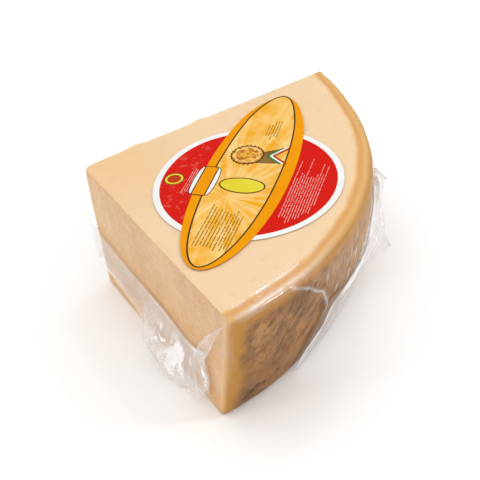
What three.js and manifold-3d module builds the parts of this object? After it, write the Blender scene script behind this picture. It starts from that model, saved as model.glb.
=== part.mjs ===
// Vacuum-packed cheese wedge: a quarter of a horizontally halved hard-cheese wheel in a clear
// welded pouch, with a round label and an oval label stuck on top.
// Millimetres, +Z up. The wheel's axis is the wedge's apex edge. One cut face looks along -Y, the
// other along -X, and the rind is the round side between them.
import * as THREE from 'three';
import { mergeVertices } from 'three/addons/utils/BufferGeometryUtils.js';
import Module from 'manifold-3d';

const wasm = await Module();
wasm.setup();

// Cheese
const WHEEL_RADIUS = 214; // widest radius, just under the top cut
const WEDGE_HEIGHT = 112.5; // half of a 225 mm high wheel
const FLAT_TOP_RADIUS = 203.5; // where the shoulder starts to slope down to the rind
const SHOULDER_DROP = 2.2; // height lost across the shoulder
const RIND_EDGE = 4; // rounding between shoulder and side
const SIDE_BULGE = { radius: 203, height: 57 }; // control point of the side's barrel curve
const HEEL = { radius: 190, height: 15 }; // where the bottom rounding starts
const HEEL_BULGE = { radius: 186, height: 2 }; // control point of the bottom rounding
const FOOT_RADIUS = 182; // flat bottom
const APEX_ROUNDING = 6; // vertical edge between the two cut faces
const CUT_ROUNDING = 3; // edges of the cut faces, top and bottom
const WHEEL_SEGMENTS = 96; // facets in a whole turn of the wheel

// Pouch and labels
const GAP = 0.3; // clearance between touching pieces
const FILM = 0.5; // thickness of the pouch walls and flaps
const WELD_HEIGHT = 52; // above the cheese's bottom face, where the two films are welded
const FLAP_FROM_APEX = -7; // the front flap sticks out past the apex edge
const FLAP_TO_RIND = 168; // and ends short of the rind
const FLAP_FREE_Z = 20; // free edge of a flap that is pressed flat
const LABEL = 0.4; // thickness of both labels
const ROUND_LABEL = { x: 94, y: 84.5, radius: 70.5 };
const OVAL_LABEL = { x: 88, y: 88.5, long: 107, short: 34.2, turn: -48.2 };

const SKIN = GAP + FILM; // the pouch's outer face stands this far off the cheese
const CHEESE_BASE = SKIN;
const CHEESE_TOP = CHEESE_BASE + WEDGE_HEIGHT;
const WELD_Z = CHEESE_BASE + WELD_HEIGHT;
const OFF_SKIN = SKIN + GAP + FILM / 2; // mid-plane of a flap that lies against the pouch

const { lerp, smoothstep, degToRad } = THREE.MathUtils;

// ---------------------------------------------------------------- solids
function toManifold(geometry) {
  geometry.deleteAttribute('normal');
  geometry.deleteAttribute('uv');
  const merged = mergeVertices(geometry, 1e-4);
  return new wasm.Manifold(new wasm.Mesh({
    numProp: 3,
    vertProperties: new Float32Array(merged.attributes.position.array),
    triVerts: new Uint32Array(merged.index.array),
  }));
}

function toGeometry(manifold) {
  const mesh = manifold.getMesh();
  const geometry = new THREE.BufferGeometry();
  geometry.setAttribute('position', new THREE.BufferAttribute(mesh.vertProperties, 3));
  geometry.setIndex(new THREE.BufferAttribute(mesh.triVerts, 1));
  geometry.computeVertexNormals();
  return geometry;
}

// Half wheel, grown outwards by `grow`, as a full turn about its axis.
function wheelSolid(grow) {
  const bottom = CHEESE_BASE - grow;
  const top = CHEESE_TOP + grow;
  const side = WHEEL_RADIUS + grow;
  const shoulderZ = top - SHOULDER_DROP;
  const profile = new THREE.Path();
  profile.moveTo(0, bottom);
  profile.lineTo(FOOT_RADIUS, bottom);
  profile.quadraticCurveTo(
    HEEL_BULGE.radius + grow, bottom + HEEL_BULGE.height,
    HEEL.radius + grow, CHEESE_BASE + HEEL.height,
  );
  profile.quadraticCurveTo(
    SIDE_BULGE.radius + grow, CHEESE_BASE + SIDE_BULGE.height,
    side, shoulderZ - RIND_EDGE,
  );
  profile.quadraticCurveTo(side, shoulderZ, side - RIND_EDGE, shoulderZ);
  profile.lineTo(FLAT_TOP_RADIUS, top);
  profile.lineTo(0, top);
  const turned = new THREE.LatheGeometry(profile.getPoints(5), WHEEL_SEGMENTS);
  turned.rotateX(Math.PI / 2); // lathe axis from Y to Z
  return toManifold(turned);
}

// Block with two faces on the cut planes, its vertical edge rounded, and its top and bottom
// edges rounded by a bevel. It reaches past the wheel on the other two sides.
function quarterBlock(grow) {
  const reach = WHEEL_RADIUS + 30;
  const round = CUT_ROUNDING + grow;
  const inset = CUT_ROUNDING;
  const apex = APEX_ROUNDING - CUT_ROUNDING;
  const plan = new THREE.Shape();
  plan.moveTo(inset + apex, inset);
  plan.lineTo(reach, inset);
  plan.lineTo(reach, reach);
  plan.lineTo(inset, reach);
  plan.lineTo(inset, inset + apex);
  plan.absarc(inset + apex, inset + apex, apex, Math.PI, 1.5 * Math.PI, false);
  const block = new THREE.ExtrudeGeometry(plan, {
    depth: WEDGE_HEIGHT - 2 * CUT_ROUNDING,
    bevelThickness: round,
    bevelSize: round,
    bevelSegments: 4,
    curveSegments: 6,
  });
  block.translate(0, 0, CHEESE_BASE + CUT_ROUNDING);
  return toManifold(block);
}

function wedgeSolid(grow) {
  return wheelSolid(grow).intersect(quarterBlock(grow));
}

function slab(fromZ, toZ) {
  const size = 3 * WHEEL_RADIUS;
  const box = new THREE.BoxGeometry(size, size, toZ - fromZ);
  box.translate(0, 0, (fromZ + toZ) / 2);
  return toManifold(box);
}

// Closed sheet of even thickness about the surface pointAt(u, v), for u and v from 0 to 1.
function sheetGeometry(pointAt, acrossU, acrossV, thickness) {
  const step = 1e-3;
  const corners = [];
  const normal = new THREE.Vector3();
  for (const side of [1, -1]) {
    for (let i = 0; i <= acrossU; i += 1) {
      for (let j = 0; j <= acrossV; j += 1) {
        const u = i / acrossU;
        const v = j / acrossV;
        const along = pointAt(Math.min(u + step, 1), v).sub(pointAt(Math.max(u - step, 0), v));
        const down = pointAt(u, Math.min(v + step, 1)).sub(pointAt(u, Math.max(v - step, 0)));
        normal.crossVectors(down, along).normalize();
        corners.push(...pointAt(u, v).addScaledVector(normal, side * thickness / 2).toArray());
      }
    }
  }
  const row = acrossV + 1;
  const layer = row * (acrossU + 1);
  const triangles = [];
  const quad = (a, b, c, d) => triangles.push(a, b, c, a, c, d);
  for (let i = 0; i < acrossU; i += 1) {
    for (let j = 0; j < acrossV; j += 1) {
      const a = i * row + j;
      quad(a, a + 1, a + 1 + row, a + row);
      quad(layer + a, layer + a + row, layer + a + 1 + row, layer + a + 1);
    }
  }
  for (let i = 0; i < acrossU; i += 1) {
    const a = i * row;
    const b = a + acrossV;
    quad(a, a + row, layer + a + row, layer + a);
    quad(b, layer + b, layer + b + row, b + row);
  }
  for (let j = 0; j < acrossV; j += 1) {
    const a = j;
    const b = acrossU * row + j;
    quad(a, layer + a, layer + a + 1, a + 1);
    quad(b, b + 1, layer + b + 1, layer + b);
  }
  const geometry = new THREE.BufferGeometry();
  geometry.setAttribute('position', new THREE.Float32BufferAttribute(corners, 3));
  geometry.setIndex(triangles);
  geometry.computeVertexNormals();
  return geometry;
}

// ---------------------------------------------------------------- pouch
function filmShell(fromZ, toZ) {
  return toGeometry(wedgeSolid(SKIN).subtract(wedgeSolid(GAP)).intersect(slab(fromZ, toZ)));
}

// Welded border along the front cut face: pressed flat near the apex, and a loose lobe that
// hangs to the base near the rind.
function frontFlapPoint(u, v) {
  const x = lerp(FLAP_FROM_APEX, FLAP_TO_RIND, u);
  const lobe = smoothstep(x, 58, 90);
  const freeZ = lerp(FLAP_FREE_Z, 1.5, lobe);
  const standOff = OFF_SKIN + v * lerp(2, 10, lobe);
  const waves = 2.2 * v * lobe * Math.sin(x * 2 * Math.PI / 19);
  return new THREE.Vector3(x, -standOff - waves, lerp(WELD_Z, freeZ, v));
}

// Welded border round the rind: it leaves the foot near the front, rises to the weld line and
// stands out as an ear. Each row is [angle from the front cut face, radius, height].
const EAR_EDGE = new THREE.CatmullRomCurve3([
  [20, 190.5, 2], [28, 190.5, 2], [36, 192, 2.5], [44, 196, 4], [49, 208, 12], [53, 228.5, 31],
  [58, 222, 44], [63, 222.5, 50], [69, 233, 52], [76, 227, 50], [84, 219, 49],
].map(([angle, radius, z]) => onWheel(angle, radius, z)));

function onWheel(angle, radius, z) {
  const turn = degToRad(angle);
  return new THREE.Vector3(radius * Math.cos(turn), radius * Math.sin(turn), z);
}

function rindFlapPoint(u, v) {
  const angle = lerp(20, 84, u);
  const rise = smoothstep(angle, 17, 28);
  const root = onWheel(angle, lerp(192.4, 202, rise), lerp(17, WELD_Z, rise));
  return root.lerp(EAR_EDGE.getPoint(u), v);
}

// Welded border along the rear cut face, folded down flat.
function rearFlapPoint(u, v) {
  const y = lerp(9, 200, u);
  return new THREE.Vector3(-OFF_SKIN - 1.8 * v, y, lerp(WELD_Z, FLAP_FREE_Z + 2 * Math.sin(y / 30), v));
}

// ---------------------------------------------------------------- labels
function labelGeometry(outline) {
  return new THREE.ExtrudeGeometry(outline, { depth: LABEL, bevelEnabled: false, curveSegments: 48 });
}

function roundLabel() {
  const outline = new THREE.Shape();
  outline.absarc(ROUND_LABEL.x, ROUND_LABEL.y, ROUND_LABEL.radius, 0, 2 * Math.PI);
  return labelGeometry(outline);
}

function ovalLabel() {
  const { x, y, long, short, turn } = OVAL_LABEL;
  const outline = new THREE.Shape();
  outline.absellipse(x, y, long, short, 0, 2 * Math.PI, false, degToRad(turn));
  return labelGeometry(outline);
}

// ---------------------------------------------------------------- assembly
const cheeseFinish = new THREE.MeshStandardMaterial({ color: 0xe9bf86, roughness: 0.55, metalness: 0 });
const filmFinish = () => new THREE.MeshStandardMaterial({
  color: 0xeef0f2, roughness: 0.08, metalness: 0, transparent: true, opacity: 0.25,
});
const redPaper = new THREE.MeshStandardMaterial({ color: 0xd41f1a, roughness: 0.45, metalness: 0 });
const amberPaper = new THREE.MeshStandardMaterial({ color: 0xf2a413, roughness: 0.45, metalness: 0 });

const wedge = new THREE.Group();

function addPiece(name, geometry, material, z = 0) {
  const mesh = new THREE.Mesh(geometry, material);
  mesh.name = name;
  mesh.position.z = z;
  wedge.add(mesh);
}

const LABEL_Z = CHEESE_TOP + SKIN + GAP;
addPiece('cheese', toGeometry(wedgeSolid(0)), cheeseFinish);
addPiece('upper_film', filmShell(WELD_Z + GAP / 2, 2 * CHEESE_TOP), filmFinish());
addPiece('lower_film', filmShell(-CHEESE_TOP, WELD_Z - GAP / 2), filmFinish());
addPiece('front_seal_flap', sheetGeometry(frontFlapPoint, 56, 5, FILM), filmFinish());
addPiece('rind_seal_flap', sheetGeometry(rindFlapPoint, 56, 5, FILM), filmFinish());
addPiece('rear_seal_flap', sheetGeometry(rearFlapPoint, 20, 3, FILM), filmFinish());
addPiece('round_label', roundLabel(), redPaper, LABEL_Z);
addPiece('oval_label', ovalLabel(), amberPaper, LABEL_Z + LABEL + GAP);

// Origin: centre of the footprint of everything, on the surface that the wedge rests on.
const extent = new THREE.Box3().setFromObject(wedge);
const middle = extent.getCenter(new THREE.Vector3());
wedge.position.set(-middle.x, -middle.y, -extent.min.z);

const part = new THREE.Group();
part.add(wedge);
export default part;
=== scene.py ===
import math

import bpy
import numpy as np
from mathutils import Matrix, Vector


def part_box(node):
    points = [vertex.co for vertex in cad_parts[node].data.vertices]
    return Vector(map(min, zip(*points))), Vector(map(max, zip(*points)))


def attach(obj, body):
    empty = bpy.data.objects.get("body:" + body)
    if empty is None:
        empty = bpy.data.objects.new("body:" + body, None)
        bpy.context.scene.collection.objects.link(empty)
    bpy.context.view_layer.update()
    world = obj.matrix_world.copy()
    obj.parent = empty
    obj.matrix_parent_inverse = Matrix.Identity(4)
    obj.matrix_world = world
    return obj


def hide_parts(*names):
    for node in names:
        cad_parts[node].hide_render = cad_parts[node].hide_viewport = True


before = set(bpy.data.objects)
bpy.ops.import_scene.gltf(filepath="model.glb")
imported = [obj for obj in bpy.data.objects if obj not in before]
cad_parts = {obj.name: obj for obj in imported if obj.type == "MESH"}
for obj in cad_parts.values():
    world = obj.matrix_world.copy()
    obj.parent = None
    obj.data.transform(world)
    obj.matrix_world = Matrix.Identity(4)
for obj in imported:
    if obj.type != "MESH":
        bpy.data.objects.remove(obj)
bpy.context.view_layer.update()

# Looks of the vacuum-packed cheese wedge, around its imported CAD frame. Blender works in metres, +Z up.
# Shapes are worked out in millimetres in the wheel's own frame: its axis is the wedge's apex edge,
# z = 0 is the cheese's base, the front cut face is y = 0, the rear one x = 0, and the rind is round
# them. Angles round the wheel run from the front cut face, in degrees.

MM = 0.001
CHEESE_LOW, CHEESE_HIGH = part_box("cheese")
WHEEL_RADIUS = (CHEESE_HIGH.x - CHEESE_LOW.x) / MM
HEIGHT = (CHEESE_HIGH.z - CHEESE_LOW.z) / MM
FLOOR_Z = -CHEESE_LOW.z / MM  # the surface that the pouch rests on
WELD_Z = (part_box("lower_film")[1].z - CHEESE_LOW.z) / MM  # height of the pouch's weld
INNER = np.array([0.414, 0.414]) * WHEEL_RADIUS  # centre of the largest circle in the sector

# Wheel profile, as in the CAD part: (radius, height) where it takes a pair
SHOULDER_DROP = 2.2
RIND_EDGE = 4.0
SIDE_BULGE = (203, 57)
HEEL = (190.0, 15.0)
HEEL_BULGE = (186, 2)
FOOT = (182.0, 0.0)

# Rounding of the wedge's edges, a little less than in the CAD
APEX_ROUNDING = 4.5
CORNER_ROUNDING = 2.6
CUT_ROUNDING = 1.6

# Columns of a wedge grid along each stretch of its outline
CHEESE_COLUMNS = {"face": 112, "corner": 7, "rind": 260, "apex": 14}
FILM_COLUMNS = {"face": 130, "corner": 9, "rind": 460, "apex": 20}
FILM_RINGS = {"side_rows": 96, "top_rings": 14, "bottom_rings": 6}
FILM_GAP = 0.7  # the film's height over the cheese's broad relief


# ---- small maths
def ease(x, low, high):
    """0 below low, 1 above high, with a smooth step between."""
    t = np.clip((x - low) / (high - low), 0, 1)
    return t * t * (3 - 2 * t)


def peak(x, centre, width):
    """1 at the centre, falling off smoothly to either side."""
    return np.exp(-(((x - centre) / width) ** 2))


def xyz(x, y=0, z=0):
    """Points from their coordinates, which may be arrays or numbers."""
    return np.stack(np.broadcast_arrays(x, y, z), -1)


def lattice(cells, seed):
    """A repeatable value from -1 to 1 for each whole-number cell, from an integer hash."""
    c = cells.astype(np.int64)
    h = (c[..., 0] * 374761393 + c[..., 1] * 668265263 + c[..., 2] * 1440662683 + seed * 974711) & 0xFFFFFFFF
    h = ((h ^ (h >> 13)) * 1274126177) & 0xFFFFFFFF
    return ((h ^ (h >> 16)) & 0xFFFF) / 32767.5 - 1


def noise(points, size, seed=0):
    """Smooth noise from -1 to 1 with features about `size` across."""
    q = points / size + 1000.5
    cell = np.floor(q)
    f = q - cell
    f = f * f * (3 - 2 * f)
    total = 0
    for corner in range(8):
        step = np.array([corner & 1, corner >> 1 & 1, corner >> 2 & 1])
        weight = np.prod(np.where(step == 1, f, 1 - f), axis=-1)
        total = total + weight * lattice(cell + step, seed)
    return total


def fractal(points, size, octaves, seed):
    """Noise with finer noise on top, each octave half as large and half as strong as the last."""
    total = 0
    for k in range(octaves):
        total = total + noise(points, size / 2**k, seed + 31 * k) / 2**k
    return total


def crease(x):
    """Triangle wave from -1 to 1 with period 1: flat facets meeting in sharp folds."""
    return 1 - 4 * np.abs(x - np.floor(x) - 0.5)


def curve_through(rows, steps):
    """Points on a smooth curve through given rows, evenly spread between each two."""
    p = np.array(rows, float)
    p = np.vstack([2 * p[0] - p[1], p, 2 * p[-1] - p[-2]])
    out = []
    for s in np.linspace(0, len(rows) - 1, steps):
        i = min(int(s), len(rows) - 2)
        t = s - i
        a, b, c, d = p[i : i + 4]
        square, cube = 2 * a - 5 * b + 4 * c - d, 3 * b - a - 3 * c + d
        out.append(0.5 * (2 * b + (c - a) * t + square * t**2 + cube * t**3))
    return np.array(out)


def quadratic(a, b, c, steps):
    """Points on the curve from a to c that b pulls towards itself."""
    t = np.linspace(0, 1, steps)[:, None]
    return (1 - t) ** 2 * np.array(a) + 2 * t * (1 - t) * np.array(b) + t**2 * np.array(c)


# ---- wedge outline and profile
FACE_SWELL, FACE_SWELL_REACH = 2.5, 60  # the cut faces belly out beside the apex, up to this reach
RIM_SWELL, RIM_SWELL_ANGLES = 4.5, (74, 90)  # the rim bows out towards the rear corner
RIND_SWELL, RIND_SWELL_ANGLES = 7.0, (24, 46)  # the rind bellies out behind its front third
SWELL_RADII = (120, 195)  # the rim's and the rind's swell set in between these

SHOULDER_Z = HEIGHT - SHOULDER_DROP
EDGE_Z = SHOULDER_Z - RIND_EDGE
SIDE = np.vstack([
    quadratic(FOOT, HEEL_BULGE, HEEL, 12),
    quadratic(HEEL, SIDE_BULGE, (WHEEL_RADIUS, EDGE_Z), 40)[1:],
])
# From the rind over its edge and the shoulder's step: [inset from the widest radius, height]
SHOULDER = np.vstack([
    quadratic((0, EDGE_Z), (0, SHOULDER_Z), (RIND_EDGE, SHOULDER_Z), 12),
    [(7.4, SHOULDER_Z + 0.2), (8.6, SHOULDER_Z + 0.8), (10.0, HEIGHT - 0.35), (11.6, HEIGHT), (40, HEIGHT)],
])
# Where a wedge grid has loops over the shoulder, as insets, and round the bottom edge, as heights
SHOULDER_STEPS = (0.3, 0.8, 1.4, 2.1, 2.9, 3.7, 4.6, 5.6, 6.6, 7.4, 8.1, 8.8, 9.5, 10.2, 11.0, 11.8, 13.5)
FOOT_STEPS = (0, 0.2, 0.5, 0.9, 1.3, CUT_ROUNDING)


def side_radius(z):
    return np.interp(z, SIDE[:, 1], SIDE[:, 0])


def arc(centre, radius, start, end, columns):
    a = np.radians(np.linspace(start, end, columns, endpoint=False))
    return np.stack([centre[0] + radius * np.cos(a), centre[1] + radius * np.sin(a)], 1)


def line(a, b, columns):
    t = np.linspace(0, 1, columns, endpoint=False)[:, None]
    return (1 - t) * np.array(a) + t * np.array(b)


def rind_swell(angle, z):
    return RIND_SWELL * ease(angle, *RIND_SWELL_ANGLES) * np.sin(np.pi * np.clip(z / EDGE_Z, 0, 1)) ** 0.8


def swell(points):
    """Bends the exact sector into the slightly full shape of a hand-cut wedge."""
    x, y, z = points[..., 0], points[..., 1], points[..., 2]
    radius, angle = np.hypot(x, y), np.degrees(np.arctan2(y, x))
    outward = RIM_SWELL * ease(angle, *RIM_SWELL_ANGLES) + rind_swell(angle, z)
    grow = 1 + outward * ease(radius, *SWELL_RADII) / np.maximum(radius, 1)
    bent_x, bent_y = (c * grow - FACE_SWELL * (1 - ease(c, 0, FACE_SWELL_REACH)) for c in (x, y))
    return xyz(bent_x, bent_y, z)


def outline(radius, inset, apex, columns):
    """Plan of the wedge: front face, corner, rind, corner, rear face, apex; counter-clockwise."""
    r = CORNER_ROUNDING
    reach = math.sqrt((radius - r) ** 2 - (inset + r) ** 2)
    turn = math.degrees(math.atan2(inset + r, reach))
    return np.vstack([
        line((inset + apex, inset), (reach, inset), columns["face"]),
        arc((reach, inset + r), r, -90, turn, columns["corner"]),
        arc((0, 0), radius, turn, 90 - turn, columns["rind"]),
        arc((inset + r, reach), r, 90 - turn, 180, columns["corner"]),
        line((inset, reach), (inset, inset + apex), columns["face"]),
        arc((inset + apex, inset + apex), apex, 180, 270, columns["apex"]),
    ])


def rind_weight(columns):
    """1 at the rind's columns, 0 at the cut faces', running between them round the corners."""
    return np.concatenate([
        np.zeros(columns["face"]), np.linspace(0, 1, columns["corner"]), np.ones(columns["rind"]),
        np.linspace(1, 0, columns["corner"]), np.zeros(columns["face"] + columns["apex"]),
    ])


def wedge_rows(columns, side_rows, top_rings, bottom_rings):
    """Loops of the wedge from the middle of the base, up the sides, to the middle of the top."""
    rows = []
    weight = rind_weight(columns)

    def add(plan, z):
        rows.append(np.column_stack([plan, np.broadcast_to(z, len(plan))]))

    foot = outline(FOOT[0], CUT_ROUNDING, APEX_ROUNDING - CUT_ROUNDING, columns)
    for k in np.linspace(0, 1, bottom_rings, endpoint=False)[1:]:
        add(INNER + (foot - INNER) * k, 0.0)
    for z in np.concatenate([FOOT_STEPS, np.linspace(CUT_ROUNDING, EDGE_Z, side_rows)[1:]]):
        short = max(CUT_ROUNDING - z, 0)
        inset = CUT_ROUNDING - math.sqrt(CUT_ROUNDING**2 - short**2)
        z_cut = z * (HEIGHT - CUT_ROUNDING) / EDGE_Z
        plan = outline(float(side_radius(z)), inset, APEX_ROUNDING - inset, columns)
        add(plan, z_cut + (z - z_cut) * weight)
    for d in SHOULDER_STEPS:
        short = max(CUT_ROUNDING - d, 0)
        z_cut = HEIGHT - CUT_ROUNDING + math.sqrt(CUT_ROUNDING**2 - short**2)
        z_rind = float(np.interp(d, SHOULDER[:, 0], SHOULDER[:, 1]))
        plan = outline(WHEEL_RADIUS - d, d, max(APEX_ROUNDING - d, 1.0), columns)
        add(plan, z_cut + (z_rind - z_cut) * weight)
    rim = rows[-1][:, :2]
    for k in np.linspace(1, 0, top_rings, endpoint=False)[1:]:
        add(INNER + (rim - INNER) * k, HEIGHT)
    return np.array(rows)


# ---- meshes
def to_world(points):
    return np.asarray(points) * MM + np.array(CHEESE_LOW)


def link(thing):
    bpy.context.scene.collection.objects.link(thing)
    return thing


def add_object(name, points, faces, attributes=None, bend=True):
    """A mesh object from points in the wheel's frame, swelled as the wedge is unless bend is off."""
    points = np.array(points, float)
    mesh = bpy.data.meshes.new(name)
    mesh.from_pydata(to_world(swell(points) if bend else points).tolist(), [], faces)
    for key, values in (attributes or {}).items():
        mesh.attributes.new(key, "FLOAT", "POINT").data.foreach_set("value", np.asarray(values, np.float32))
    mesh.shade_smooth()
    mesh.update()
    return link(bpy.data.objects.new(name, mesh))


def grid_faces(rows, columns, wrap=False):
    i, j = np.meshgrid(np.arange(rows - 1), np.arange(columns if wrap else columns - 1), indexing="ij")
    a = i * columns + j
    b = i * columns + (j + 1) % columns
    return np.stack([a, b, b + columns, a + columns], -1).reshape(-1, 4).tolist()


def grid_normals(grid, wrap=False):
    """Unit normals of a grid of points, facing out where rows rise and columns run anticlockwise."""
    across = np.roll(grid, -1, 1) - np.roll(grid, 1, 1)
    if not wrap:
        across[:, 0] = grid[:, 1] - grid[:, 0]
        across[:, -1] = grid[:, -1] - grid[:, -2]
    up = np.gradient(grid, axis=0)
    n = np.cross(across, up)
    return n / np.maximum(np.linalg.norm(n, axis=-1, keepdims=True), 1e-9)


def closed_form(name, grid, attributes):
    """A wrapped grid closed by a fan at the middle of its first and last rows."""
    rows, columns = grid.shape[:2]
    points = np.vstack([grid.reshape(-1, 3), grid[0].mean(0), grid[-1].mean(0)])
    faces = grid_faces(rows, columns, wrap=True)
    low, high = rows * columns, rows * columns + 1
    last = (rows - 1) * columns
    for j in range(columns):
        k = (j + 1) % columns
        faces.append([low, k, j])
        faces.append([high, last + j, last + k])
    full = {key: np.append(v.reshape(-1), [v[0].mean(), v[-1].mean()]) for key, v in attributes.items()}
    return add_object(name, points, faces, full)


def settle(piece, replaced, material):
    """Gives a piece its material and its body, and hides the CAD node that it stands for, if any."""
    piece.data.materials.append(material)
    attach(piece, "root")
    if replaced:
        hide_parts(replaced)


# ---- materials
class Nodes:
    """Short names for building the node tree of a new material, or of a world."""

    def __init__(self, name, owner=None, output="OutputMaterial"):
        self.owner = owner or bpy.data.materials.new(name)
        self.owner.use_nodes = True
        self.tree = self.owner.node_tree
        self.tree.nodes.clear()
        self.output = self.add(output)

    def add(self, kind, **inputs):
        node = self.tree.nodes.new("ShaderNode" + kind)
        for key, value in inputs.items():
            self.put(node, key, value)
        return node

    def put(self, node, key, value):
        """Links or sets an input, named by its label with _ for spaces or by i and its number."""
        socket = node.inputs[int(key[1:]) if key[0] == "i" and key[1:].isdigit() else key.replace("_", " ")]
        if isinstance(value, bpy.types.NodeSocket):
            self.tree.links.new(value, socket)
        else:
            socket.default_value = (*value, 1) if socket.type == "RGBA" else value

    def value(self, name):
        node = self.add("Attribute")
        node.attribute_name = name
        return node.outputs["Fac"]

    def math(self, operation, a, b=0.0, clamp=False):
        node = self.add("Math", i0=a, i1=b)
        node.operation = operation
        node.use_clamp = clamp
        return node.outputs[0]

    def mix(self, factor, a, b):
        node = self.add("Mix")
        node.data_type = "RGBA"
        for index, value in ((0, factor), (6, a), (7, b)):
            self.put(node, f"i{index}", value)
        return node.outputs[2]

    def ramp(self, factor, *stops):
        node = self.add("ValToRGB", i0=factor)
        elements = node.color_ramp.elements
        while len(elements) < len(stops):
            elements.new(0.5)
        for element, (place, colour) in zip(elements, stops):
            element.position = place
            element.color = (*colour, 1)
        return node.outputs[0]

    def range(self, value, low, high, to_low=0.0, to_high=1.0):
        node = self.add("MapRange", i0=value, i1=low, i2=high, i3=to_low, i4=to_high)
        node.interpolation_type = "SMOOTHSTEP"
        return node.outputs[0]

    def noise(self, scale, detail=4.0, rough=0.55, stretch=None):
        place = self.add("TexCoord").outputs["Object"]
        if stretch:
            place = self.add("Mapping", Vector=place, Scale=stretch).outputs[0]
        node = self.add("TexNoise", Vector=place, Scale=scale, Detail=detail, Roughness=rough)
        return node.outputs["Fac"]

    def speckle(self, base, colour, grain, low, high, most=1.0):
        """The base with another colour over it where noise of a grain rises from low to high."""
        return self.mix(self.range(self.noise(*grain), low, high, 0, most), base, colour)

    def bump(self, height, distance, strength, below=None):
        node = self.add("Bump", Height=height, Distance=distance, Strength=strength)
        if below is not None:
            self.put(node, "Normal", below)
        return node.outputs[0]

    def finish(self, shader):
        self.put(self.output, "Surface", shader.outputs[0])
        return self.owner


def grey(value):
    return (value, value, value)


AMBER_DEPTH = 18.0  # mm under the rind that the amber ramp spans
PASTE_DEPTHS = (9.5, 13)  # mm under the rind where amber gives way to paste
RAGGED = 0.8  # mm that the layers under the rind wander by


def cheese_material():
    """Paste on the cut faces, amber under the rind, brown mottled rind.

    under_rind is a depth in mm; the other attributes run from 0 to 1. side is 1 on the cut faces.
    """
    n = Nodes("aged cheese")
    rind, side, amber_and_weld_shade = n.value("rind"), n.value("side"), n.value("amber_and_weld_shade")
    grain = n.noise(160, 4, 0.6)

    top = n.mix(n.noise(9, 3), (0.83, 0.585, 0.335), (0.86, 0.635, 0.40))
    # One attribute mixes in the amber under the rind and the painted shade in a band just above the weld
    top = n.mix(amber_and_weld_shade, top, (0.80, 0.49, 0.20))
    cut = n.speckle((0.69, 0.415, 0.21), (0.77, 0.495, 0.275), (14, 4), 0.35, 0.68)
    cut = n.mix(amber_and_weld_shade, cut, (0.74, 0.39, 0.12))
    cut = n.speckle(cut, (0.86, 0.62, 0.40), (75, 5, 0.65), 0.5, 0.7, 0.5)
    cut = n.speckle(cut, (0.58, 0.31, 0.115), (240, 5, 0.75), 0.5, 0.68, 0.5)
    cut = n.speckle(cut, (0.90, 0.70, 0.48), (330, 4, 0.7), 0.54, 0.7, 0.6)
    paste = n.mix(side, top, cut)
    paste = n.mix(n.range(grain, 0.56, 0.75, 0, 0.25), paste, (0.62, 0.36, 0.15))

    wander = n.range(n.noise(60, 3), 0.3, 0.7, -RAGGED, RAGGED)
    ragged = n.math("ADD", n.value("under_rind"), wander)
    ragged = n.math("ADD", ragged, n.math("MULTIPLY", side, 5.0))
    amber = n.ramp(
        n.math("DIVIDE", ragged, AMBER_DEPTH),
        (0.0, (0.62, 0.33, 0.08)), (0.10, (0.65, 0.36, 0.10)), (0.24, (0.72, 0.425, 0.145)),
        (0.42, (0.69, 0.335, 0.09)), (0.60, (0.80, 0.49, 0.21)), (0.75, (0.85, 0.58, 0.32)),
    )
    cut_colour = n.mix(n.range(ragged, *PASTE_DEPTHS), amber, paste)

    brown = n.speckle((0.23, 0.090, 0.012), (0.43, 0.19, 0.042), (22, 7, 0.66), 0.37, 0.62)
    brown = n.speckle(brown, (0.13, 0.045, 0.006), (90, 6, 0.75, (1, 1, 0.5)), 0.52, 0.63, 0.6)
    brown = n.speckle(brown, (0.52, 0.27, 0.085), (34, 7, 0.78), 0.55, 0.63, 0.65)
    brown = n.mix(amber_and_weld_shade, brown, (0.66, 0.36, 0.115))
    brown = n.speckle(brown, (0.14, 0.050, 0.008), (300, 5, 0.75, (1, 1, 0.45)), 0.51, 0.60, 0.5)
    brown = n.mix(n.value("low"), brown, (0.20, 0.085, 0.016))
    brown = n.mix(n.value("warm_edge"), brown, (0.51, 0.225, 0.015))
    colour = n.mix(rind, cut_colour, brown)
    colour = n.mix(n.value("fleck"), colour, (0.075, 0.026, 0.005))
    colour = n.mix(n.value("chip"), colour, (0.80, 0.50, 0.20))

    pores = n.math("ADD", n.math("MULTIPLY", n.noise(420, 5, 0.65), 0.35), grain)
    rough = n.math("MULTIPLY", n.noise(130, 5, 0.7, (1, 1, 0.5)), rind)
    normal = n.bump(rough, 0.0010, 0.25, n.bump(pores, 0.0004, 0.35))
    roughness = n.range(grain, 0.3, 0.7, 0.42, 0.6)
    return n.finish(n.add(
        "BsdfPrincipled", Base_Color=colour, Normal=normal, Roughness=roughness, Specular_IOR_Level=0.2,
        Subsurface_Weight=0.18, Subsurface_Radius=(1.0, 0.55, 0.25), Subsurface_Scale=0.004,
    ))


STREAK_WIDTH, STREAK_LENGTH = 1.6, 24.0


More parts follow.
